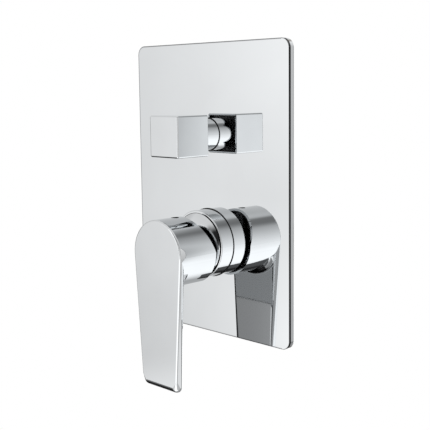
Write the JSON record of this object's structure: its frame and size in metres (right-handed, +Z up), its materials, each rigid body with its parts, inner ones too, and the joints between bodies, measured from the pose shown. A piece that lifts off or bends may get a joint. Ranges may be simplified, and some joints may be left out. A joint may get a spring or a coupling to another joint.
{
  "type": "single lever concealed mixer",
  "caption": "Concealed shower and bath mixer: rectangular cover plate, lever handle over a ceramic cartridge, and a square pull knob for the diverter.",
  "frame": {"origin": "middle of the cover plate, on the finished wall face that the gasket meets", "axes": "+Y runs into the wall, so the trim faces -Y; +Z is up, from the lever towards the diverter knob; +X is to the right as seen from the room"},
  "size_m": [0.138, 0.1177, 0.2189],
  "materials": {
    "chrome_plate": "polished chrome on pressed sheet",
    "chrome": "polished chrome on brass and zinc castings",
    "cast_brass": "sand cast, machined at ports and faces",
    "brass": "turned",
    "steel": "ground",
    "dark_steel": "blackened",
    "white_plastic": "moulded",
    "black_plastic": "moulded",
    "ceramic": "lapped alumina ceramic, opaque",
    "black_rubber": "smooth",
    "foam": "closed cell foam"
  },
  "bodies": {
    "wall_unit": {"mixer_body": "cast_brass", "cover_plate": "chrome_plate", "plate_gasket": "foam", "sleeve_ring": "black_rubber", "collar_ring": "black_rubber", "cartridge_sleeve": "chrome", "sleeve_o_ring": "black_rubber", "cartridge_dome": "chrome", "cartridge_housing": "white_plastic", "cartridge_base": "white_plastic", "base_seals": "black_rubber", "fixed_disc": "ceramic", "cartridge_nut": "brass", "diverter_collar": "chrome", "diverter_cage": "white_plastic", "diverter_bonnet": "brass", "stem_o_rings": "black_rubber"},
    "rotor": {"cartridge_rotor": "white_plastic", "pivot_pin": "steel"},
    "lever": {"lever_handle": "chrome", "lever_grub_screw": "dark_steel", "lever_spindle": "steel"},
    "mixing_disc": {"disc_carrier": "white_plastic", "moving_disc": "ceramic"},
    "diverter": {"diverter_knob": "chrome", "knob_insert": "black_plastic", "knob_grub_screw": "dark_steel", "diverter_stem": "chrome", "front_valve_disc": "brass", "rear_valve_disc": "brass", "valve_seals": "black_rubber", "valve_spacer": "brass", "stem_nut": "brass"}
  },
  "joints": [
    {"name": "temperature_swivel", "type": "hinge", "parent": "wall_unit", "child": "rotor", "pos_m": [0, -0.004, -0.0347], "axis": [0, 1, 0], "range_deg": [-48, 48]},
    {"name": "flow_lift", "type": "hinge", "parent": "rotor", "child": "lever", "pos_m": [0, -0.004, -0.0347], "axis": [-1, 0, 0], "range_deg": [0, 25]},
    {"name": "disc_slide", "type": "slide", "parent": "rotor", "child": "mixing_disc", "axis": [0, 0, -1], "range_m": [0, 0.0037]},
    {"name": "diverter_pull", "type": "slide", "parent": "wall_unit", "child": "diverter", "axis": [0, -1, 0], "range_m": [0, 0.008]}
  ],
  "couplings": [
    {"joint": "disc_slide", "follows": "flow_lift", "m_per_rad": 0.00843}
  ]
}
